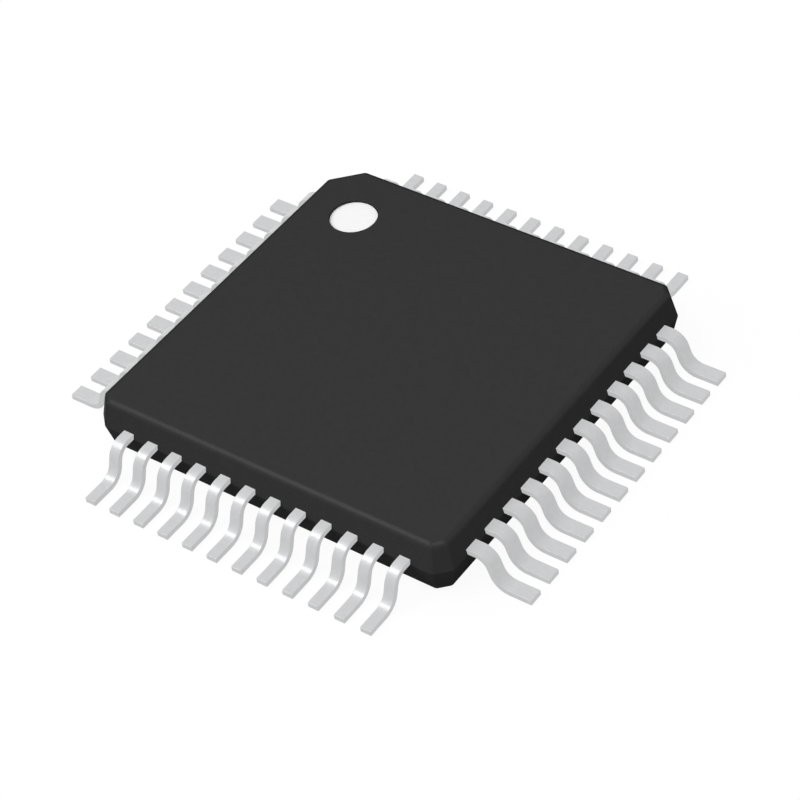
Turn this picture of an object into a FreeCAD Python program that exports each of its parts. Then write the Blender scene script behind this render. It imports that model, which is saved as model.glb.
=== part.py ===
"""A thin quad flat package with formed leads on all four sides, in millimetres.

The feet stand on z = 0 and the origin lies under the middle of the moulded body. +Z is up, and the
corner with the pin-one mark points to -X, +Y. Leads are counted anticlockwise from that corner, seen
from above. Everything that repeats on the four sides is drawn once for a side that faces +X, where
x runs outwards and y runs along the side, and is then turned into place.
"""
import FreeCAD
import Part
import math
import os

Vector = FreeCAD.Vector

# lead pattern
LEADS_PER_SIDE = 12
LEAD_PITCH = 0.50
EAST_WEST_LEAD_WIDTH = 0.265  # of the leads that point along X
NORTH_SOUTH_LEAD_WIDTH = 0.20  # of the leads that point along Y
LEAD_THICKNESS = 0.10

# moulded body, whose leads come out on top of the parting plane
STANDOFF = 0.10  # from the feet's underside to the body's
LOWER_HALF = 0.44  # from the body's underside to the parting plane
UPPER_HALF = 0.51  # from the parting plane to the body's top
CORNER_MARGIN = 0.75  # from the middle of an outer lead to the next side of the body
LOWER_DRAFT = 13.0  # degrees
UPPER_DRAFT = 13.0  # degrees
CORNER_CUT = 0.24  # leg of a cut corner, at the parting plane
PIN_ONE_CUT = 0.54  # leg of the pin-one corner's cut, at the parting plane
TOP_EDGE_RADIUS = 0.09

# formed part of a lead, outside the body
SHOULDER_LENGTH = 0.32  # from the parting line to the corner of the upper bend
SLOPE_RUN = 0.17  # horizontal distance covered by the slope
FOOT_LENGTH = 0.63  # from the corner of the lower bend to the tip
UPPER_BEND_RADIUS = 0.27  # to the middle of the strip
LOWER_BEND_RADIUS = 0.31  # to the middle of the strip

# inner finger of a lead
FINGER_ROOT_LENGTH = 0.30  # how far the lead runs in before it turns towards the die
FINGER_TIP_PITCH = 0.30
FINGER_TIP_WIDTH = 0.15
FINGER_GAP = 0.35  # from the paddle's edge to the row of tips, at the middle of a side
FINGER_TIP_RAKE = 0.12  # how much the row of tips falls back per millimetre along the side

# die paddle and its tie bars
PADDLE_SIZE = 3.50
PADDLE_DOWNSET = 0.20  # how far the paddle lies below the leads
TIE_BAR_WIDTH = 0.20
TIE_BAR_COVER = 0.15  # moulding left between a tie bar's end and the cut corner
TIE_BAR_FLAT = 0.20  # from the paddle's corner to the bend
TIE_BAR_BEND_RADIUS = 0.10

# die and its adhesive
DIE_SIZE = 3.00
DIE_THICKNESS = 0.22
ATTACH_THICKNESS = 0.02

# bond wires
WIRE_RADIUS = 0.0125
BALL_RADIUS = 0.035
BALL_HEIGHT = 0.025
WIRE_RISE = 0.13  # from the die's top to the bend of the wire
PAD_INSET = 0.09  # from the die's edge to the row of pads
PAD_CORNER_MARGIN = 0.40  # from the die's corner to the first pad along a side
BOND_SETBACK = 0.10  # from a finger's tip to the end of the wire on it
WIRE_FACETS = 4  # flats that stand for the round section

# pin-one mark
MARK_DIAMETER = 0.84
MARK_THICKNESS = 0.02
MARK_RECESS = 0.05  # how far the mark lies below the body's top
MARK_INSET_X = 1.12  # from the body's -X side, at the parting plane, to the mark's middle
MARK_INSET_Y = 1.21  # from the body's +Y side, at the parting plane, to the mark's middle

# round marks that the mould's ejector pins leave on the underside
EJECTOR_DIAMETER = 0.90
EJECTOR_DEPTH = 0.03
EJECTOR_INSET = 1.40  # from the parting line to the mark's middle, along both sides of the corner

SIDE_NAMES = ["west", "south", "east", "north"]
SIDE_LEAD_WIDTHS = [EAST_WEST_LEAD_WIDTH, NORTH_SOUTH_LEAD_WIDTH] * 2

body_half = (LEADS_PER_SIDE - 1) * LEAD_PITCH / 2 + CORNER_MARGIN
parting_z = STANDOFF + LOWER_HALF
body_top_z = parting_z + UPPER_HALF
lead_middle_z = parting_z + LEAD_THICKNESS / 2
lead_top_z = parting_z + LEAD_THICKNESS
paddle_top_z = lead_top_z - PADDLE_DOWNSET
die_bottom_z = paddle_top_z + ATTACH_THICKNESS
die_top_z = die_bottom_z + DIE_THICKNESS
pad_pitch = (DIE_SIZE - 2 * PAD_CORNER_MARGIN) / (LEADS_PER_SIDE - 1)


def flat_face(corners):
    """A flat face with straight edges through the corners."""
    return Part.Face(Part.makePolygon(corners + corners[:1]))


def skin(rings):
    """A solid with flat faces through a stack of outlines, each anticlockwise as seen from the last one."""
    faces = [flat_face(rings[0][::-1]), flat_face(rings[-1])]
    for lower, upper in zip(rings, rings[1:]):
        for i in range(len(lower)):
            j = (i + 1) % len(lower)
            faces.append(flat_face([lower[i], lower[j], upper[j], upper[i]]))
    return Part.Solid(Part.Shell(faces))


def cut_square(half, corner_cut, pin_one_cut, z):
    """The corners of a square outline with its own corners cut off, anticlockwise."""
    cuts = [corner_cut, corner_cut, corner_cut, pin_one_cut]
    signs = [(-1, -1), (1, -1), (1, 1), (-1, 1)]
    ring = []
    for (sx, sy), cut in zip(signs, cuts):
        along_x = Vector(sx * (half - cut), sy * half, z)
        along_y = Vector(sx * half, sy * (half - cut), z)
        ring += [along_x, along_y] if sx * sy < 0 else [along_y, along_x]
    return ring


def drafted_ring(height, draft, z):
    """The body's outline at a height above or below the parting plane, where the draft has drawn it in."""
    inset = height * math.tan(math.radians(draft))
    # a face drawn in square to itself shortens the leg of the cut between two such faces
    shorter = inset * (2 - math.sqrt(2))
    return cut_square(body_half - inset, CORNER_CUT - shorter, PIN_ONE_CUT - shorter, z)


def turned(shape, degrees):
    """A copy of the shape, turned about the package's upright axis."""
    copy = shape.copy()
    copy.rotate(Vector(0, 0, 0), Vector(0, 0, 1), degrees)
    return copy


def side_turn(side):
    """How far a side is turned from the one that faces +X."""
    return 180 + 90 * side


def lead_along(i):
    """Where lead i of a side lies along it."""
    return (i - (LEADS_PER_SIDE - 1) / 2) * LEAD_PITCH


def left_of(direction):
    """The direction to the left of one in the XZ plane, seen along +Y."""
    return Vector(-direction.z, 0, direction.x)


def rounded_run(points, radii, sideways):
    """Edges along a path in the XZ plane with rounded corners, moved sideways from it."""
    edges = []
    here = points[0] + left_of((points[1] - points[0]).normalize()) * sideways
    for before, corner, after, radius in zip(points, points[1:], points[2:], radii):
        going_in = (corner - before).normalize()
        going_out = (after - corner).normalize()
        reach = radius * math.tan(going_in.getAngle(going_out) / 2)
        to_left = going_in.z * going_out.x < going_in.x * going_out.z
        centre_side = radius if to_left else -radius
        bend_start = corner - going_in * reach
        centre = bend_start + left_of(going_in) * centre_side
        arc_start = bend_start + left_of(going_in) * sideways
        arc_end = corner + going_out * reach + left_of(going_out) * sideways
        arc_radius = (arc_start - centre).Length
        arc_middle = centre + (corner - centre).normalize() * arc_radius
        edges.append(Part.makeLine(here, arc_start))
        edges.append(Part.Arc(arc_start, arc_middle, arc_end).toShape())
        here = arc_end
    last = points[-1] + left_of((points[-1] - points[-2]).normalize()) * sideways
    edges.append(Part.makeLine(here, last))
    return edges


def bent_strip(points, radii, thickness, width):
    """A strip bent along a path in the XZ plane, centred on y = 0."""
    left = rounded_run(points, radii, thickness / 2)
    right = rounded_run(points, radii, -thickness / 2)
    start = Part.makeLine(right[0].firstVertex().Point, left[0].firstVertex().Point)
    end = Part.makeLine(right[-1].lastVertex().Point, left[-1].lastVertex().Point)
    outline = Part.Wire(Part.__sortEdges__(left + right + [start, end]))
    outline.translate(Vector(0, -width / 2, 0))
    return Part.Face(outline).extrude(Vector(0, width, 0))


def finger_tip(i):
    """The middle of the end of lead i's inner finger, on the leads' top plane."""
    along = lead_along(i)
    out = PADDLE_SIZE / 2 + FINGER_GAP + FINGER_TIP_RAKE * abs(along)
    return Vector(out, along * FINGER_TIP_PITCH / LEAD_PITCH, lead_top_z)


def finger_root(i):
    """Where lead i turns towards the die, on the leads' top plane."""
    return Vector(body_half - FINGER_ROOT_LENGTH, lead_along(i), lead_top_z)


def inner_finger(i, root_width):
    """The part of lead i that fans in towards the die."""
    root = finger_root(i)
    tip = finger_tip(i)
    corners = [
        root + Vector(0, root_width / 2, 0),
        tip + Vector(0, FINGER_TIP_WIDTH / 2, 0),
        tip - Vector(0, FINGER_TIP_WIDTH / 2, 0),
        root - Vector(0, root_width / 2, 0),
    ]
    return flat_face(corners).extrude(Vector(0, 0, -LEAD_THICKNESS))


def lead(i, width):
    """Lead i of the side that faces +X, from the tip of its foot to the tip of its inner finger."""
    upper_corner_x = body_half + SHOULDER_LENGTH
    lower_corner_x = upper_corner_x + SLOPE_RUN
    path = [
        Vector(finger_root(i).x, 0, lead_middle_z),
        Vector(upper_corner_x, 0, lead_middle_z),
        Vector(lower_corner_x, 0, LEAD_THICKNESS / 2),
        Vector(lower_corner_x + FOOT_LENGTH, 0, LEAD_THICKNESS / 2),
    ]
    strip = bent_strip(path, [UPPER_BEND_RADIUS, LOWER_BEND_RADIUS], LEAD_THICKNESS, width)
    strip.translate(Vector(0, lead_along(i), 0))
    return strip.fuse(inner_finger(i, width)).removeSplitter()


def tie_bar(corner_cut):
    """The tie bar that runs along +X from the paddle to a cut corner, before it is turned."""
    paddle_corner = PADDLE_SIZE / math.sqrt(2)
    bar_end = (2 * body_half - corner_cut) / math.sqrt(2) - TIE_BAR_COVER
    paddle_middle_z = paddle_top_z - LEAD_THICKNESS / 2
    bend_x = paddle_corner + TIE_BAR_FLAT
    path = [
        Vector(paddle_corner - TIE_BAR_WIDTH, 0, paddle_middle_z),
        Vector(bend_x, 0, paddle_middle_z),
        Vector(bend_x + PADDLE_DOWNSET, 0, lead_middle_z),
        Vector(bar_end, 0, lead_middle_z),
    ]
    return bent_strip(path, [TIE_BAR_BEND_RADIUS, TIE_BAR_BEND_RADIUS], LEAD_THICKNESS, TIE_BAR_WIDTH)


def centred_plate(size, thickness, bottom_z):
    """A square plate about the package's upright axis."""
    return Part.makeBox(size, size, thickness, Vector(-size / 2, -size / 2, bottom_z))


def die_paddle():
    """The plate under the die with its four tie bars, set down below the leads."""
    paddle = centred_plate(PADDLE_SIZE, LEAD_THICKNESS, paddle_top_z - LEAD_THICKNESS)
    bars = [turned(tie_bar(CORNER_CUT), degrees) for degrees in (-135, -45, 45)]
    bars.append(turned(tie_bar(PIN_ONE_CUT), 135))
    return paddle.fuse(bars).removeSplitter()


def slid_to(ring, direction, plane_point, plane_normal):
    """The ring's corners, each slid along a direction until it meets a plane."""
    rate = direction.dot(plane_normal)
    return [p + direction * ((plane_point - p).dot(plane_normal) / rate) for p in ring]


def ring_about(middle, radius, first_angle):
    """The corners of a level regular outline."""
    angles = [first_angle + 2 * math.pi * k / WIRE_FACETS for k in range(WIRE_FACETS)]
    return [middle + Vector(math.cos(a), math.sin(a), 0) * radius for a in angles]


def bond_wire(i):
    """The wire from the die's pad i to lead i: a ball, a straight rise, one bend and a long fall."""
    pad = Vector(DIE_SIZE / 2 - PAD_INSET, (i - (LEADS_PER_SIDE - 1) / 2) * pad_pitch, die_top_z)
    inwards = (finger_root(i) - finger_tip(i)).normalize()
    landing = finger_tip(i) + inwards * BOND_SETBACK
    bend = pad + Vector(0, 0, WIRE_RISE)
    up = Vector(0, 0, 1)
    fall = (landing - bend).normalize()
    heading = math.atan2(fall.y, fall.x)
    ball = ring_about(pad, BALL_RADIUS, heading)
    neck = ring_about(pad + Vector(0, 0, BALL_HEIGHT), WIRE_RADIUS, heading)
    at_bend = slid_to(neck, up, bend, up + fall)
    on_finger = slid_to(at_bend, fall, landing, up)
    return skin([ball, neck, at_bend, on_finger])


def round_pocket(diameter, middle, bottom_z, depth):
    """A short upright cylinder."""
    return Part.makeCylinder(diameter / 2, depth, Vector(middle.x, middle.y, bottom_z))


def pin_one_place():
    """The middle of the pin-one mark, seen from above."""
    return Vector(-body_half + MARK_INSET_X, body_half - MARK_INSET_Y, 0)


def pin_one_mark():
    """The disc that lies in the bottom of its recess."""
    bottom_z = body_top_z - MARK_RECESS - MARK_THICKNESS
    return round_pocket(MARK_DIAMETER, pin_one_place(), bottom_z, MARK_THICKNESS)


def plain_body():
    """The moulding's outside: two drafted halves that meet at the parting plane."""
    body = skin([
        drafted_ring(LOWER_HALF, LOWER_DRAFT, STANDOFF),
        drafted_ring(0, 0, parting_z),
        drafted_ring(UPPER_HALF, UPPER_DRAFT, body_top_z),
    ])
    top_edges = [e for e in body.Edges if all(v.Z > body_top_z - TOP_EDGE_RADIUS for v in e.Vertexes)]
    return body.makeFillet(TOP_EDGE_RADIUS, top_edges)


def mould_body(embedded):
    """The moulding with its recess, its ejector marks and the room that the embedded pieces take."""
    depth = MARK_RECESS + MARK_THICKNESS
    recess = round_pocket(MARK_DIAMETER, pin_one_place(), body_top_z - depth, depth)
    reach = body_half - EJECTOR_INSET
    ejector_places = [Vector(-reach, -reach, 0), Vector(reach, reach, 0)]
    ejectors = [round_pocket(EJECTOR_DIAMETER, p, STANDOFF, EJECTOR_DEPTH) for p in ejector_places]
    return plain_body().cut([recess] + ejectors + embedded)


def all_leads():
    """The leads by number, anticlockwise from the pin-one corner."""
    leads = []
    for side, width in enumerate(SIDE_LEAD_WIDTHS):
        leads += [turned(lead(i, width), side_turn(side)) for i in range(LEADS_PER_SIDE)]
    return leads


def wires_of(side):
    """The bond wires of one side, each a solid of its own."""
    return [turned(bond_wire(i), side_turn(side)) for i in range(LEADS_PER_SIDE)]


def main():
    leads = all_leads()
    wires = {name: wires_of(side) for side, name in enumerate(SIDE_NAMES)}
    paddle = die_paddle()
    attach = centred_plate(DIE_SIZE, ATTACH_THICKNESS, paddle_top_z)
    die = centred_plate(DIE_SIZE, DIE_THICKNESS, die_bottom_z)
    all_wires = [wire for group in wires.values() for wire in group]

    nodes = {
        "mould_body": mould_body(leads + [paddle, attach, die] + all_wires),
        "pin_one_mark": pin_one_mark(),
        "die_paddle": paddle,
        "die_attach": attach,
        "silicon_die": die,
    }
    for name, group in wires.items():
        nodes["bond_wires_" + name] = Part.makeCompound(group)
    for number, shape in enumerate(leads, start=1):
        nodes[f"lead_{number:02d}"] = shape

    os.makedirs("parts", exist_ok=True)
    for name, shape in nodes.items():
        shape.exportStep(f"parts/{name}.step")


main()
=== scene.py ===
"""The looks of a thin quad flat package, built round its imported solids.

Everything is in metres, in the frame of the solids: the feet stand on z = 0, +Z is up, and the
corner with the pin-one mark points to -X, +Y. Leads are counted anticlockwise from that corner.
"""

import math

import bmesh
import bpy
from mathutils import Matrix, Vector


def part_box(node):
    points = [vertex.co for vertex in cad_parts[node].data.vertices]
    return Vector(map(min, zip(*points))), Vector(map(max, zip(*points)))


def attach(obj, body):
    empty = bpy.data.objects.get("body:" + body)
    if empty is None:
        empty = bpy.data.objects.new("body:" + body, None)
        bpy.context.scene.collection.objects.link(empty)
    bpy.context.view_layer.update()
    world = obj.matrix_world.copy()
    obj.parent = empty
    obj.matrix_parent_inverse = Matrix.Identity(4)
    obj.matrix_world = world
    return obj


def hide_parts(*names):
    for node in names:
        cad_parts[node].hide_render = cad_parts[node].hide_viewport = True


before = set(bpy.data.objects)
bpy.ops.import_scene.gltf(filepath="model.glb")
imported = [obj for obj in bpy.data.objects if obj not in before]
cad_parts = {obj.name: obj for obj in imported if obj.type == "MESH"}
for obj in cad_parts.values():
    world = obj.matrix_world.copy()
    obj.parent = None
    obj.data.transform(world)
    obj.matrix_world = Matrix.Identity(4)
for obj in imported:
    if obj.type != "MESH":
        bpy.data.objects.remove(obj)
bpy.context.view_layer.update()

MM = 0.001
BODY = "root"

# moulded body, as the solids have it
PARTING_Z = 0.54 * MM
BODY_BOTTOM_Z = 0.10 * MM
BODY_TOP_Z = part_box("mould_body")[1].z
BODY_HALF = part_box("mould_body")[1].x
DRAFT = math.radians(13)
CORNER_CUT = 0.24 * MM
PIN_ONE_CUT = 0.54 * MM

# the body's edges, a little softer than the solids'
TOP_BEVEL_IN = 0.076 * MM  # along the top, from where it would meet the side
TOP_BEVEL_DOWN = 0.048 * MM  # down the side, from the same place
TOP_BEVEL_EASE = 0.085 * MM  # radius of the bevel's two turns
TOP_BEVEL_STEPS = 4
BOTTOM_EDGE_RADIUS = 0.02 * MM
BOTTOM_EDGE_STEPS = 8
CORNER_RADIUS = 0.08 * MM  # where a side turns into a cut corner
CORNER_STEPS = 6

# round places in the body
PIN_ONE_LOW, PIN_ONE_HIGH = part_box("pin_one_mark")
PIN_ONE_MIDDLE = (PIN_ONE_LOW + PIN_ONE_HIGH) / 2
PIN_ONE_RADIUS = (PIN_ONE_HIGH.x - PIN_ONE_LOW.x) / 2
PIN_ONE_EDGE_RADIUS = 0.006 * MM
PIN_ONE_GAP = 0.001 * MM  # from the disc to the side of its recess
EJECTOR_RADIUS = 0.45 * MM
EJECTOR_DEPTH = 0.03 * MM
EJECTOR_INSET = 1.40 * MM  # from the parting line to the mark's middle, along both sides of the corner
RIM_RADIUS = 0.012 * MM
RIM_STEPS = 4
CIRCLE_STEPS = 96

# leads, as the solids have them
LEADS_PER_SIDE = 12
LEAD_PITCH = 0.50 * MM
EAST_WEST_LEAD_WIDTH = 0.265 * MM  # of the leads that point along X
NORTH_SOUTH_LEAD_WIDTH = 0.20 * MM  # of the leads that point along Y
SIDE_LEAD_WIDTHS = [EAST_WEST_LEAD_WIDTH, NORTH_SOUTH_LEAD_WIDTH] * 2  # west, south, east, north
LEAD_THICKNESS = 0.10 * MM
SHOULDER_Z = PARTING_Z + LEAD_THICKNESS / 2  # the strip's middle
SHOULDER_LENGTH = 0.32 * MM  # from the parting line to the corner of the upper bend
SLOPE_RUN = 0.17 * MM  # horizontal distance covered by the slope
TOE_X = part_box("lead_25")[1].x  # from a lead of the side that faces +X
UPPER_BEND_RADIUS = 0.27 * MM  # to the middle of the strip
LOWER_BEND_RADIUS = 0.31 * MM  # to the middle of the strip
BEND_STEPS = 14
FINGER_ROOT_LENGTH = 0.30 * MM  # how far the lead runs in before it turns towards the die
FINGER_TIP_X = 2.10 * MM  # the row of tips, at the middle of a side
FINGER_TIP_RAKE = 0.12  # how much the row of tips falls back per millimetre along the side
FINGER_TIP_PITCH = 0.30 * MM
FINGER_TIP_WIDTH = 0.15 * MM

# the leads' edges, which the solids have sharp
LEAD_EDGE_RADIUS = 0.008 * MM
LEAST_EDGE_RADIUS = 0.1 * LEAD_EDGE_RADIUS  # where an end face shrinks the section
ROUNDING_STEPS = 4

# shading
CREASE_ANGLE = math.radians(24)

# camera
CAMERA_AZIMUTH = math.radians(40.898)
CAMERA_ELEVATION = math.radians(43.531)
CAMERA_ROLL = math.radians(8.1105)
CAMERA_DISTANCE = 45.76 * MM
CAMERA_SIDEWAYS = 0.332 * MM
CAMERA_UPWARDS = -0.732 * MM
CAMERA_TARGET_Z = 0.8 * MM
CAMERA_SENSOR = 36
CAMERA_LENS = 126.04
CAMERA_SHIFT_X = -0.01274
CAMERA_SHIFT_Y = -0.00305
CAMERA_NEAR = 1 * MM
CAMERA_FAR = 10

# light, where a level of 1 shows a white surface as white
KEY_DIRECTION = (-0.475, -0.322, 0.819)
KEY_DISTANCE = 160 * MM
KEY_SIZE = 170 * MM
KEY_LEVEL = 0.60
GLINT_DISTANCE = 144 * MM
GLINT_SIZE = 44 * MM
GLINT_LEVEL = 0.080
TOP_GLINT_DIRECTION = (0.204, -0.130, 0.971)
TOP_GLINT_LEVEL = 0.060
WORLD_LEVEL = 0.42
FLOOR_HALF_WIDTH = 0.5
FLOOR_SEEN_GLOW = 0.94  # share of plain white where the camera looks
FLOOR_MIRRORED_GLOW = 1.0  # share of plain white where a reflection looks
FLOOR_BOUNCE = 0.42  # what the floor sends back as light
FLOOR_PALENESS = 0.97  # how pale it looks

# grain of the materials
GRAIN_DETAIL = 3.0
GRAIN_ROUGHNESS = 0.6
GRAIN_LOW = 0.3  # nearly all of the noise lies between these two
GRAIN_HIGH = 0.7

# sheen of the moulding, on its upper half only; leaving it off the lower half is painted shade
UPPER_SHEEN = 0.33
SHEEN_FADE = 0.002 * MM  # how far it fades out to each side of the parting plane
SHEEN_EDGE_TINT = (0.1, 0.1, 0.1, 1)

# faint blocks of circuits on the die
CIRCUIT_SCALE = 4.0  # gives blocks of 0.125 by 0.0625 mm
CIRCUIT_GAP = 0.02  # between the blocks, in units of 0.25 mm


# materials

def new_material(name):
    """A new material, its node tree and its Principled shader."""
    material = bpy.data.materials.new(name)
    material.use_nodes = True
    tree = material.node_tree
    shader = tree.nodes["Principled BSDF"]
    return material, tree, shader


def grain(tree, size, stretch=(1, 1, 1)):
    """Noise between 0 and 1 whose features are about size across, stretched along the axes."""
    place = tree.nodes.new("ShaderNodeTexCoord")
    scale = tree.nodes.new("ShaderNodeMapping")
    scale.inputs["Scale"].default_value = [1 / (size * s) for s in stretch]
    noise = tree.nodes.new("ShaderNodeTexNoise")
    noise.inputs["Scale"].default_value = 1.0
    noise.inputs["Detail"].default_value = GRAIN_DETAIL
    noise.inputs["Roughness"].default_value = GRAIN_ROUGHNESS
    tree.links.new(place.outputs["Object"], scale.inputs["Vector"])
    tree.links.new(scale.outputs["Vector"], noise.inputs["Vector"])
    return noise.outputs["Fac"]


def between(tree, value, low, high):
    """The noise value spread out from its middle, mapped to low and high."""
    spread = tree.nodes.new("ShaderNodeMapRange")
    spread.inputs["From Min"].default_value = GRAIN_LOW
    spread.inputs["From Max"].default_value = GRAIN_HIGH
    spread.inputs["To Min"].default_value = low
    spread.inputs["To Max"].default_value = high
    tree.links.new(value, spread.inputs["Value"])
    return spread.outputs["Result"]


def shades(tree, value, dark, light):
    """A colour between dark and light."""
    ramp = tree.nodes.new("ShaderNodeMix")
    ramp.data_type = "RGBA"
    ramp.inputs["A"].default_value = (*dark, 1)
    ramp.inputs["B"].default_value = (*light, 1)
    tree.links.new(between(tree, value, 0, 1), ramp.inputs["Factor"])
    return ramp.outputs["Result"]


def relief(tree, heights):
    """A normal with several reliefs on top of each other, each a noise and its height in metres."""
    normal = None
    for value, height in heights:
        bump = tree.nodes.new("ShaderNodeBump")
        bump.inputs["Distance"].default_value = height
        tree.links.new(value, bump.inputs["Height"])
        if normal is not None:
            tree.links.new(normal, bump.inputs["Normal"])
        normal = bump.outputs["Normal"]
    return normal


def finish_of(name, *, dark, light, roughness, metallic, coarse, coarse_height, fine, fine_height,
              stretch=(1, 1, 1), specular=0.5):
    """A material with two sizes of grain, coarse and fine, in its colour, roughness and relief."""
    material, tree, shader = new_material(name)
    shader.inputs["Specular IOR Level"].default_value = specular
    broad = grain(tree, coarse, stretch)
    close = grain(tree, fine, stretch)
    shader.inputs["Metallic"].default_value = metallic
    tree.links.new(shades(tree, broad, dark, light), shader.inputs["Base Color"])
    tree.links.new(between(tree, close, *roughness), shader.inputs["Roughness"])
    normal = relief(tree, [(broad, coarse_height), (close, fine_height)])
    tree.links.new(normal, shader.inputs["Normal"])
    return material


def mould_compound():
    """Black moulding compound, with a faint sheen above the parting plane and none below it, which paints
    shade on the lower half.
    """
    material = finish_of(
        "mould_compound",
        dark=(0.0370, 0.0370, 0.0373),
        light=(0.0400, 0.0400, 0.0403),
        roughness=(0.25, 0.30),
        metallic=0.0,
        specular=0.0,
        coarse=0.12 * MM,
        coarse_height=0.0004 * MM,
        fine=0.014 * MM,
        fine_height=0.0006 * MM,
    )
    tree = material.node_tree
    place = tree.nodes.new("ShaderNodeTexCoord")
    parts = tree.nodes.new("ShaderNodeSeparateXYZ")
    # no sheen below the parting plane: painted shade on the lower half, under the leads
    sheen = tree.nodes.new("ShaderNodeMapRange")
    sheen.inputs["From Min"].default_value = PARTING_Z - SHEEN_FADE
    sheen.inputs["From Max"].default_value = PARTING_Z + SHEEN_FADE
    sheen.inputs["To Min"].default_value = 0.0
    sheen.inputs["To Max"].default_value = UPPER_SHEEN
    tree.links.new(place.outputs["Object"], parts.inputs["Vector"])
    tree.links.new(parts.outputs["Z"], sheen.inputs["Value"])
    shader = tree.nodes["Principled BSDF"]
    shader.inputs["Specular Tint"].default_value = SHEEN_EDGE_TINT
    tree.links.new(sheen.outputs["Result"], shader.inputs["Metallic"])
    return material


def mark_white():
    """The pale surface of the pin-one mark."""
    return finish_of(
        "mark_white",
        dark=(0.88, 0.88, 0.88),
        light=(0.90, 0.90, 0.90),
        roughness=(0.42, 0.55),
        metallic=0.0,
        coarse=0.10 * MM,
        coarse_height=0.0008 * MM,
        fine=0.012 * MM,
        fine_height=0.0003 * MM,
    )


def tinned_lead():
    """Matt tin plate on a copper alloy."""
    return finish_of(
        "tinned_lead",
        dark=(0.580, 0.585, 0.592),
        light=(0.619, 0.624, 0.631),
        roughness=(0.34, 0.39),
        metallic=0.75,
        coarse=0.10 * MM,
        coarse_height=0.0004 * MM,
        fine=0.010 * MM,
        fine_height=0.0003 * MM,
    )


def paddle_copper():
    """Bare copper alloy of the lead frame's middle, with a rolled grain along X."""
    return finish_of(
        "paddle_copper",
        dark=(0.72, 0.38, 0.25),
        light=(0.80, 0.45, 0.31),
        roughness=(0.28, 0.40),
        metallic=1.0,
        coarse=0.08 * MM,
        coarse_height=0.0004 * MM,
        fine=0.012 * MM,
        fine_height=0.0003 * MM,
        stretch=(4, 0.4, 1),
    )


def attach_adhesive():
    """Silver-filled adhesive under the die."""
    return finish_of(
        "attach_adhesive",
        dark=(0.40, 0.40, 0.39),
        light=(0.55, 0.55, 0.53),
        roughness=(0.45, 0.65),
        metallic=0.3,
        coarse=0.05 * MM,
        coarse_height=0.0010 * MM,
        fine=0.010 * MM,
        fine_height=0.0006 * MM,
    )


def silicon():
    """The die's passivated surface, with the faint blocks of its circuits."""
    material, tree, shader = new_material("silicon")
    place = tree.nodes.new("ShaderNodeTexCoord")
    scale = tree.nodes.new("ShaderNodeMapping")
    scale.inputs["Scale"].default_value = (1 / MM,) * 3
    blocks = tree.nodes.new("ShaderNodeTexBrick")
    blocks.inputs["Scale"].default_value = CIRCUIT_SCALE
    blocks.inputs["Mortar Size"].default_value = CIRCUIT_GAP
    blocks.inputs["Color1"].default_value = (0.10, 0.12, 0.17, 1)
    blocks.inputs["Color2"].default_value = (0.16, 0.15, 0.22, 1)
    blocks.inputs["Mortar"].default_value = (0.30, 0.30, 0.28, 1)
    tree.links.new(place.outputs["Object"], scale.inputs["Vector"])
    tree.links.new(scale.outputs["Vector"], blocks.inputs["Vector"])
    tree.links.new(blocks.outputs["Color"], shader.inputs["Base Color"])
    close = grain(tree, 0.012 * MM)
    tree.links.new(between(tree, close, 0.12, 0.22), shader.inputs["Roughness"])
    tree.links.new(relief(tree, [(close, 0.0002 * MM)]), shader.inputs["Normal"])
    shader.inputs["Metallic"].default_value = 0.6
    return material


def bond_gold():
    """Drawn gold wire."""
    return finish_of(
        "bond_gold",
        dark=(0.95, 0.66, 0.27),
        light=(1.00, 0.74, 0.36),
        roughness=(0.18, 0.28),
        metallic=1.0,
        coarse=0.03 * MM,
        coarse_height=0.0002 * MM,
        fine=0.005 * MM,
        fine_height=0.0001 * MM,
    )


# objects and meshes

def placed(name, data):
    """A new object in the scene."""
    thing = bpy.data.objects.new(name, data)
    bpy.context.scene.collection.objects.link(thing)
    return thing


def mesh_from(bm, name):
    """A mesh from bm, which is freed."""
    mesh = bpy.data.meshes.new(name)
    bm.to_mesh(mesh)
    bm.free()
    return mesh


def circle(middle, radius, z):
    """A level circle of points, anticlockwise."""
    angles = [2 * math.pi * k / CIRCLE_STEPS for k in range(CIRCLE_STEPS)]
    return [Vector((middle.x + radius * math.cos(a), middle.y + radius * math.sin(a), z)) for a in angles]


def rounded_corner(corner, going_in, going_out, radius, steps):
    """Points along the arc that rounds a corner of an outline, whichever way it turns."""
    side = math.copysign(1, going_in.cross(going_out))
    turn = going_in.angle(going_out)
    inwards = Vector((-going_in.y, going_in.x)) * side
    centre = corner - going_in * radius * math.tan(turn / 2) + inwards * radius
    points = []
    for k in range(steps + 1):
        points.append(centre - inwards @ Matrix.Rotation(-side * turn * k / steps, 2) * radius)
    return points


def loft(bm, rings):
    """Faces between a stack of rings with the same number of points. Gives the rings of vertices."""
    loops = [[bm.verts.new(point) for point in ring] for ring in rings]
    for lower, upper in zip(loops, loops[1:]):
        for i in range(len(lower)):
            j = (i + 1) % len(lower)
            bm.faces.new((lower[i], lower[j], upper[j], upper[i]))
    return loops


def flat_between(bm, outer, holes):
    """Flat faces inside a ring of vertices and outside others."""
    edges = []
    for loop in [outer, *holes]:
        for i in range(len(loop)):
            edges.append(bm.edges.get((loop[i - 1], loop[i])))
    bmesh.ops.triangle_fill(bm, use_beauty=True, use_dissolve=False, edges=edges)


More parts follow.
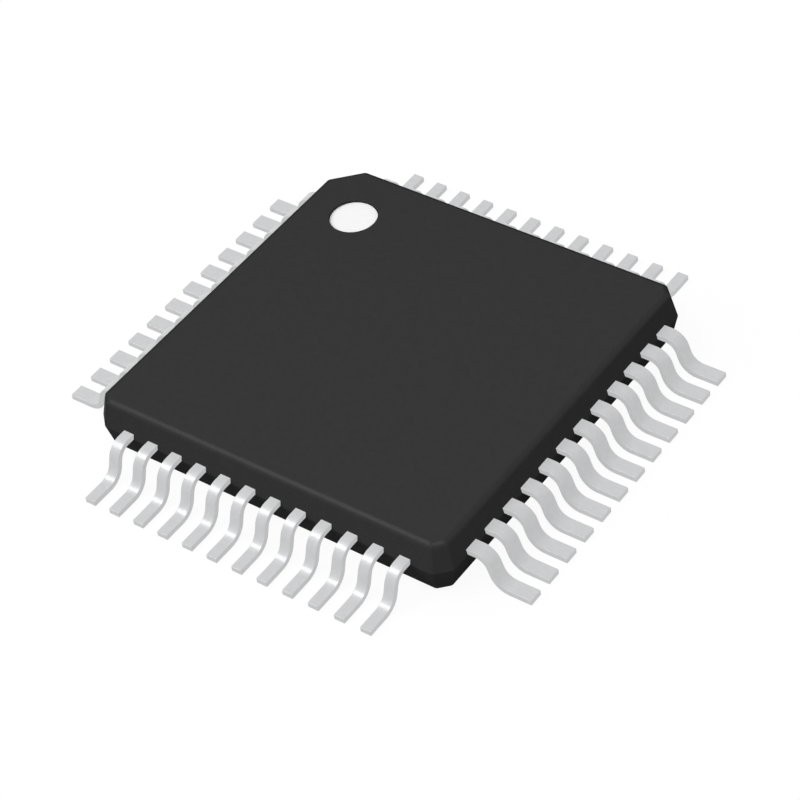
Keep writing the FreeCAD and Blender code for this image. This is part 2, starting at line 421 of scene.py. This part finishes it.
def even_normals(mesh):
    """Smooth shading that keeps the large faces flat and stops at creases."""
    largest = max(face.area for face in mesh.polygons)
    around = [[] for _ in mesh.vertices]
    for face in mesh.polygons:
        face.use_smooth = True
        for vertex in face.vertices:
            around[vertex].append((face.normal.copy(), (face.area / largest) ** 2))
    corners = []
    for face in mesh.polygons:
        for vertex in face.vertices:
            near = [pair for pair in around[vertex] if pair[0].angle(face.normal) < CREASE_ANGLE]
            heaviest = max(weight for normal, weight in near)
            weighted = [normal * (weight / heaviest) for normal, weight in near]
            corners.append(sum(weighted, Vector()).normalized())
    mesh.normals_split_custom_set(corners)


def make_piece(bm, name, material, slot, *nodes):
    """A smoothly shaded piece that rides on the body and stands for the CAD nodes.

    It doesn't show in reflections, so the metal keeps an even grey right up to the dark body.
    """
    bmesh.ops.recalc_face_normals(bm, faces=bm.faces)
    mesh = mesh_from(bm, name)
    even_normals(mesh)
    mesh.materials.append(material)
    piece = placed(name, mesh)
    piece.visible_glossy = False
    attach(piece, BODY)
    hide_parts(*nodes)


# moulded body

def cut_square(half, corner_cut, pin_one_cut):
    """The corners of a square outline with its own corners cut off, anticlockwise."""
    cuts = [corner_cut, corner_cut, corner_cut, pin_one_cut]
    signs = [(-1, -1), (1, -1), (1, 1), (-1, 1)]
    ring = []
    for (sx, sy), cut in zip(signs, cuts):
        along_x = Vector((sx * (half - cut), sy * half))
        along_y = Vector((sx * half, sy * (half - cut)))
        ring += [along_x, along_y] if sx * sy < 0 else [along_y, along_x]
    return ring


def body_ring(inset, z):
    """The body's outline, drawn in by an inset from the parting line."""
    # a face drawn in square to itself shortens the leg of the cut between two such faces
    shorter = inset * (2 - math.sqrt(2))
    corners = cut_square(BODY_HALF - inset, CORNER_CUT - shorter, PIN_ONE_CUT - shorter)
    points = []
    for before, corner, after in zip(corners[-1:] + corners, corners, corners[1:] + corners[:1]):
        going_in = (corner - before).normalized()
        going_out = (after - corner).normalized()
        points += rounded_corner(corner, going_in, going_out, CORNER_RADIUS, CORNER_STEPS)
    return [Vector((*point, z)) for point in points]


def bevelled_edge(height):
    """Insets and heights above the parting plane, from it up the drafted side and over the soft bevel."""
    up_the_side = Vector((math.sin(DRAFT), math.cos(DRAFT)))
    inwards = Vector((1, 0))
    meeting = Vector((height * math.tan(DRAFT), height))
    foot = meeting - up_the_side * TOP_BEVEL_DOWN
    head = meeting + inwards * TOP_BEVEL_IN
    over = (head - foot).normalized()
    profile = rounded_corner(foot, up_the_side, over, TOP_BEVEL_EASE, TOP_BEVEL_STEPS)
    profile += rounded_corner(head, over, inwards, TOP_BEVEL_EASE, TOP_BEVEL_STEPS)
    return [(0.0, 0.0)] + [tuple(point) for point in profile]


def rounded_edge(height, radius):
    """Insets and depths below the parting plane, from it down the drafted side and round the edge."""
    turn = math.pi / 2 - DRAFT
    centre_inset = height * math.tan(DRAFT) + radius * math.tan(turn / 2)
    profile = [(0.0, 0.0)]
    for k in range(BOTTOM_EDGE_STEPS + 1):
        angle = DRAFT + turn * k / BOTTOM_EDGE_STEPS
        inset = centre_inset - radius * math.cos(angle)
        profile.append((inset, height - radius + radius * math.sin(angle)))
    return profile


def round_hollow(bm, middle, radius, face_z, floor_z):
    """A flat-bottomed hollow with a rounded rim. Gives the rim's outer ring of vertices."""
    into = math.copysign(1, floor_z - face_z)
    rings = []
    for k in range(RIM_STEPS + 1):
        angle = math.pi / 2 * k / RIM_STEPS
        rim = radius + RIM_RADIUS * (1 - math.sin(angle))
        rings.append(circle(middle, rim, face_z + into * RIM_RADIUS * (1 - math.cos(angle))))
    rings.append(circle(middle, radius, floor_z))
    loops = loft(bm, rings)
    bm.faces.new(loops[-1])
    return loops[0]


def moulding(material):
    """The moulded body: two drafted halves, soft edges, the mark's recess and the ejector marks."""
    bm = bmesh.new()
    upper = bevelled_edge(BODY_TOP_Z - PARTING_Z)
    lower = rounded_edge(PARTING_Z - BODY_BOTTOM_Z, BOTTOM_EDGE_RADIUS)
    rings = [body_ring(inset, PARTING_Z - depth) for inset, depth in lower[:0:-1]]
    rings += [body_ring(inset, PARTING_Z + height) for inset, height in upper]
    loops = loft(bm, rings)
    recess = round_hollow(bm, PIN_ONE_MIDDLE, PIN_ONE_RADIUS, BODY_TOP_Z, PIN_ONE_LOW.z)
    flat_between(bm, loops[-1], [recess])
    reach = BODY_HALF - EJECTOR_INSET
    ejector_floor_z = BODY_BOTTOM_Z + EJECTOR_DEPTH
    ejectors = []
    for side in (-1, 1):
        place = Vector((side * reach, side * reach, 0))
        ejectors.append(round_hollow(bm, place, EJECTOR_RADIUS, BODY_BOTTOM_Z, ejector_floor_z))
    flat_between(bm, loops[0], ejectors)
    make_piece(bm, "moulding", material, "mould_compound", "mould_body")


def pin_one_disc(material):
    """The pin-one mark, a thin disc with a soft edge."""
    radius = PIN_ONE_RADIUS - PIN_ONE_GAP
    bm = bmesh.new()
    rings = [circle(PIN_ONE_MIDDLE, radius, PIN_ONE_LOW.z)]
    for k in range(ROUNDING_STEPS + 1):
        angle = math.pi / 2 * k / ROUNDING_STEPS
        narrower = PIN_ONE_EDGE_RADIUS * (1 - math.cos(angle))
        below_top = PIN_ONE_EDGE_RADIUS * (1 - math.sin(angle))
        rings.append(circle(PIN_ONE_MIDDLE, radius - narrower, PIN_ONE_HIGH.z - below_top))
    loops = loft(bm, rings)
    bm.faces.new(loops[0])
    bm.faces.new(loops[-1])
    make_piece(bm, "pin_one_disc", material, "mark_white", "pin_one_mark")


# leads

class Station:
    """A place along a lead: its middle, its half width and the direction of travel in the XZ plane."""

    def __init__(self, x, y, z, width, angle=0.0):
        self.middle = Vector((x, y, z))
        self.half_width = width / 2
        self.angle = angle

    def ring(self, moved=0.0, shrunk=0.0):
        """The rounded section here, moved along the lead and shrunk for a rounded end."""
        along = Vector((math.cos(self.angle), 0, math.sin(self.angle)))
        up = Vector((-along.z, 0, along.x))
        across = Vector((0, 1, 0))
        middle = self.middle + along * moved
        radius = max(LEAD_EDGE_RADIUS - shrunk, LEAST_EDGE_RADIUS)
        reach_across = self.half_width - shrunk - radius
        reach_up = LEAD_THICKNESS / 2 - shrunk - radius
        points = []
        for quarter in range(4):
            corner = quarter * math.pi / 2
            corner_across = math.copysign(reach_across, math.cos(corner + math.pi / 4))
            corner_up = math.copysign(reach_up, math.sin(corner + math.pi / 4))
            for k in range(ROUNDING_STEPS + 1):
                angle = corner + math.pi / 2 * k / ROUNDING_STEPS
                to_side = corner_across + radius * math.cos(angle)
                upwards = corner_up + radius * math.sin(angle)
                points.append(middle + across * to_side + up * upwards)
        return points


def bend(corner, angle_in, angle_out, radius, y, width):
    """Stations round a bend of a lead, whose corner is in the XZ plane."""
    turn = angle_out - angle_in
    side = math.copysign(1, turn)
    going_in = Vector((math.cos(angle_in), math.sin(angle_in)))
    left = Vector((-going_in.y, going_in.x))
    centre = corner - going_in * radius * math.tan(abs(turn) / 2) + left * radius * side
    stations = []
    for k in range(BEND_STEPS + 1):
        angle = angle_in + turn * k / BEND_STEPS
        point = centre - Vector((-math.sin(angle), math.cos(angle))) * radius * side
        stations.append(Station(point.x, y, point.y, width, angle))
    return stations


def lead_stations(i, width):
    """The stations of lead i of the side that faces +X, from its inner tip to its toe."""
    along_side = (i - (LEADS_PER_SIDE - 1) / 2) * LEAD_PITCH
    tip_x = FINGER_TIP_X + FINGER_TIP_RAKE * abs(along_side)
    tip_y = along_side * FINGER_TIP_PITCH / LEAD_PITCH
    upper = Vector((BODY_HALF + SHOULDER_LENGTH, SHOULDER_Z))
    lower = upper + Vector((SLOPE_RUN, LEAD_THICKNESS / 2 - SHOULDER_Z))
    slope = math.atan2(lower.y - upper.y, lower.x - upper.x)
    stations = [
        Station(tip_x, tip_y, SHOULDER_Z, FINGER_TIP_WIDTH),
        Station(BODY_HALF - FINGER_ROOT_LENGTH, along_side, SHOULDER_Z, width),
        Station(BODY_HALF, along_side, SHOULDER_Z, width),
    ]
    stations += bend(upper, 0.0, slope, UPPER_BEND_RADIUS, along_side, width)
    stations += bend(lower, slope, 0.0, LOWER_BEND_RADIUS, along_side, width)
    stations.append(Station(TOE_X, along_side, LEAD_THICKNESS / 2, width))
    return stations


def rounded_end(station, inwards):
    """Rings that round an end of a lead, from its flat face on. Inwards is 1 at the tip, -1 at the toe."""
    rings = []
    for k in range(ROUNDING_STEPS + 1):
        angle = math.pi / 2 * (1 - k / ROUNDING_STEPS)
        moved = inwards * LEAD_EDGE_RADIUS * (1 - math.sin(angle))
        rings.append(station.ring(moved, LEAD_EDGE_RADIUS * (1 - math.cos(angle))))
    return rings


def formed_lead(number, material):
    """One lead with rounded edges, from its inner finger to its foot."""
    side, i = divmod(number - 1, LEADS_PER_SIDE)
    stations = lead_stations(i, SIDE_LEAD_WIDTHS[side])
    rings = rounded_end(stations[0], 1)
    rings += [station.ring() for station in stations[1:-1]]
    rings += reversed(rounded_end(stations[-1], -1))
    bm = bmesh.new()
    loops = loft(bm, rings)
    bm.faces.new(loops[0])
    bm.faces.new(loops[-1])
    turn = Matrix.Rotation(math.radians(180 + 90 * side), 4, "Z")
    bmesh.ops.transform(bm, matrix=turn, verts=bm.verts)
    make_piece(bm, f"formed_lead_{number:02d}", material, "tinned_lead", f"lead_{number:02d}")


# studio

def by_viewer(tree, camera, reflection):
    """One value for the camera and see-through surfaces, another for a reflection, and 0 for light."""
    values = {
        "Is Camera Ray": camera,
        "Is Transmission Ray": camera,
        "Is Glossy Ray": reflection,
    }
    path = tree.nodes.new("ShaderNodeLightPath")
    total = None
    for kind, value in values.items():
        part = tree.nodes.new("ShaderNodeMath")
        part.operation = "MULTIPLY_ADD"
        part.inputs[1].default_value = value
        part.inputs[2].default_value = 0.0
        tree.links.new(path.outputs[kind], part.inputs[0])
        if total is not None:
            tree.links.new(total, part.inputs[2])
        total = part.outputs["Value"]
    return total


def pale_floor():
    """Plain white with part of the object's shadow where it is seen, and a duller white for light."""
    material, tree, shader = new_material("pale_floor")
    tree.nodes.remove(shader)
    matt = tree.nodes.new("ShaderNodeBsdfDiffuse")
    glow = tree.nodes.new("ShaderNodeEmission")
    pale = tree.nodes.new("ShaderNodeMapRange")
    pale.inputs["To Min"].default_value = FLOOR_BOUNCE
    pale.inputs["To Max"].default_value = FLOOR_PALENESS
    tree.links.new(by_viewer(tree, 1.0, 1.0), pale.inputs["Value"])
    tree.links.new(pale.outputs["Result"], matt.inputs["Color"])
    mix = tree.nodes.new("ShaderNodeMixShader")
    tree.links.new(by_viewer(tree, FLOOR_SEEN_GLOW, FLOOR_MIRRORED_GLOW), mix.inputs["Fac"])
    tree.links.new(matt.outputs["BSDF"], mix.inputs[1])
    tree.links.new(glow.outputs["Emission"], mix.inputs[2])
    tree.links.new(mix.outputs["Shader"], tree.nodes["Material Output"].inputs["Surface"])
    return material


def studio_floor():
    """A wide level floor under the feet."""
    bm = bmesh.new()
    bmesh.ops.create_grid(bm, x_segments=1, y_segments=1, size=FLOOR_HALF_WIDTH)
    mesh = mesh_from(bm, "studio_floor")
    mesh.materials.append(pale_floor())
    floor = placed("studio_floor", mesh)


def studio_world():
    """White where it is seen, and a plain soft light where it lights."""
    world = bpy.data.worlds.new("studio")
    bpy.context.scene.world = world
    world.use_nodes = True
    tree = world.node_tree
    background = tree.nodes["Background"]
    background.inputs["Color"].default_value = (1, 1, 1, 1)
    strength = tree.nodes.new("ShaderNodeMapRange")
    strength.inputs["To Min"].default_value = WORLD_LEVEL
    strength.inputs["To Max"].default_value = 1.0
    tree.links.new(by_viewer(tree, 1.0, 1.0), strength.inputs["Value"])
    tree.links.new(strength.outputs["Result"], background.inputs["Strength"])


def softbox(name, direction, distance, size, level):
    """A square lamp that lights a white surface facing it up to the level, aimed at the chip."""
    lamp = bpy.data.lights.new(name, "AREA")
    lamp.shape = "SQUARE"
    lamp.size = size
    half_angle_sine = size / math.hypot(size, 2 * distance)
    share_of_view = 4 / math.pi * half_angle_sine * math.atan(half_angle_sine)
    lamp.energy = level * math.pi * size ** 2 / share_of_view
    holder = placed(name, lamp)
    towards = Vector(direction).normalized()
    holder.location = towards * distance
    holder.rotation_mode = "QUATERNION"
    holder.rotation_quaternion = towards.to_track_quat("Z", "Y")
    return holder


def studio_lamps():
    """A broad lamp that lights every surface, and two small ones that make the highlights."""
    key = softbox("key", KEY_DIRECTION, KEY_DISTANCE, KEY_SIZE, KEY_LEVEL)
    key.visible_glossy = False
    softbox("glint", KEY_DIRECTION, GLINT_DISTANCE, GLINT_SIZE, GLINT_LEVEL)
    softbox("top_glint", TOP_GLINT_DIRECTION, GLINT_DISTANCE, GLINT_SIZE, TOP_GLINT_LEVEL)


def photo_camera():
    """The camera, at the photograph's angle and framing."""
    azimuth, elevation = CAMERA_AZIMUTH, CAMERA_ELEVATION
    back = Vector((
        math.sin(azimuth) * math.cos(elevation),
        -math.cos(azimuth) * math.cos(elevation),
        math.sin(elevation),
    ))
    right = Vector((math.cos(azimuth), math.sin(azimuth), 0))
    up = back.cross(right)
    rolled_right = right * math.cos(CAMERA_ROLL) - up * math.sin(CAMERA_ROLL)
    rolled_up = right * math.sin(CAMERA_ROLL) + up * math.cos(CAMERA_ROLL)
    target = Vector((0, 0, CAMERA_TARGET_Z))
    place = target + back * CAMERA_DISTANCE + rolled_right * CAMERA_SIDEWAYS + rolled_up * CAMERA_UPWARDS
    data = bpy.data.cameras.new("photo_camera")
    data.sensor_width = CAMERA_SENSOR
    data.lens = CAMERA_LENS
    data.shift_x = CAMERA_SHIFT_X
    data.shift_y = CAMERA_SHIFT_Y
    data.clip_start = CAMERA_NEAR
    data.clip_end = CAMERA_FAR
    camera = placed("photo_camera", data)
    turn = Matrix((rolled_right, rolled_up, back)).transposed()
    camera.matrix_world = Matrix.Translation(place) @ turn.to_4x4()
    bpy.context.scene.camera = camera


# the whole scene

def dress(node, material):
    """Gives a solid that stays in the picture its material."""
    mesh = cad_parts[node].data
    mesh.materials.clear()
    mesh.materials.append(material)


def main():
    """Builds the pieces, dresses the hidden solids and sets up the studio."""
    moulding(mould_compound())
    pin_one_disc(mark_white())
    tin = tinned_lead()
    for number in range(1, 4 * LEADS_PER_SIDE + 1):
        formed_lead(number, tin)
    dress("die_paddle", paddle_copper())
    dress("die_attach", attach_adhesive())
    dress("silicon_die", silicon())
    gold = bond_gold()
    for side in ("west", "south", "east", "north"):
        dress("bond_wires_" + side, gold)
    photo_camera()
    studio_floor()
    studio_world()
    studio_lamps()
    view = bpy.context.scene.view_settings
    view.view_transform = "Standard"


main()
